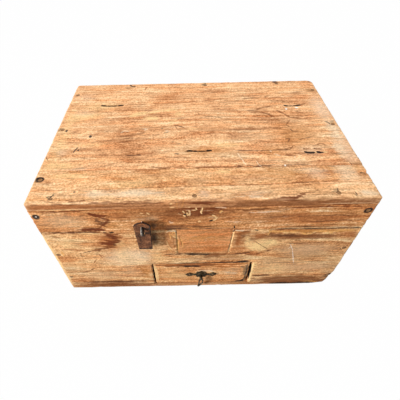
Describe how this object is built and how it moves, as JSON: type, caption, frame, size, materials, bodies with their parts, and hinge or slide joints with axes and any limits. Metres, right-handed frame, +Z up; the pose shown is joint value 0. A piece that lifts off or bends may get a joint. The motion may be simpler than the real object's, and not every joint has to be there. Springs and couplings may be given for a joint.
{
  "type": "carpenters tool chest",
  "caption": "Nailed board tool chest with a framed hinged lid, a hanging iron hasp, an open compartment and a small drawer with a drop pull.",
  "frame": {"origin": "centre of the chest's underside", "axes": "+X to the right seen from the front, +Y to the back, +Z up"},
  "size_m": [0.6, 0.4423, 0.3],
  "materials": {
    "weathered_wood": "dry weathered plank, open grain",
    "inner_wood": "sawn, unfinished",
    "drawer_wood": "worn plank",
    "patch_wood": "planed, redder than the boards",
    "forged_iron": "dark, rusty",
    "hinge_iron": "dark, rusty",
    "rusted_iron": "brown rust",
    "worn_iron": "dark, rubbed bright at the edge",
    "aged_brass": "dark patina, bright edges"
  },
  "bodies": {
    "chest": {"bottom_board": "weathered_wood", "front_board": "weathered_wood", "back_board": "weathered_wood", "left_side_board": "weathered_wood", "right_side_board": "weathered_wood", "compartment_floor": "inner_wood", "left_drawer_guide": "inner_wood", "right_drawer_guide": "inner_wood", "left_floor_cleat": "inner_wood", "right_floor_cleat": "inner_wood", "front_patch": "patch_wood", "body_nails": "forged_iron", "bottom_nails": "forged_iron", "left_hinge_lower_leaf": "hinge_iron", "right_hinge_lower_leaf": "hinge_iron", "hinge_pins": "hinge_iron", "lower_hinge_screws": "hinge_iron"},
    "lid": {"lid_rear_board": "weathered_wood", "lid_middle_board": "weathered_wood", "lid_front_strip": "weathered_wood", "lid_front_rail": "weathered_wood", "lid_back_rail": "weathered_wood", "lid_left_rail": "weathered_wood", "lid_right_rail": "weathered_wood", "lid_top_nails": "forged_iron", "lid_rail_nails": "forged_iron", "left_hinge_upper_leaf": "hinge_iron", "right_hinge_upper_leaf": "hinge_iron", "upper_hinge_screws": "hinge_iron", "hasp_staple": "worn_iron"},
    "hasp": {"hasp_strap": "rusted_iron"},
    "drawer": {"drawer_front": "drawer_wood", "drawer_left_side": "inner_wood", "drawer_right_side": "inner_wood", "drawer_back": "inner_wood", "drawer_bottom": "inner_wood", "drawer_nails": "forged_iron", "pull_plate": "aged_brass", "pull_nails": "aged_brass", "pull_post": "aged_brass", "pull_pin": "aged_brass", "pull_washer": "aged_brass"},
    "pull": {"pull_drop": "aged_brass"}
  },
  "joints": [
    {"name": "lid_hinge", "type": "hinge", "parent": "chest", "child": "lid", "pos_m": [0, 0.2093, 0.2212], "axis": [-1, 0, 0], "range_deg": [0, 100]},
    {"name": "hasp_swing", "type": "hinge", "parent": "lid", "child": "hasp", "pos_m": [-0.106, -0.216, 0.2498], "axis": [-1, 0, 0], "range_deg": [0, 75]},
    {"name": "drawer_slide", "type": "slide", "parent": "chest", "child": "drawer", "axis": [0, -1, 0], "range_m": [0, 0.28]},
    {"name": "pull_swing", "type": "hinge", "parent": "drawer", "child": "pull", "pos_m": [0.0025, -0.214, 0.0538], "axis": [-1, 0, 0], "range_deg": [-8, 110]}
  ]
}
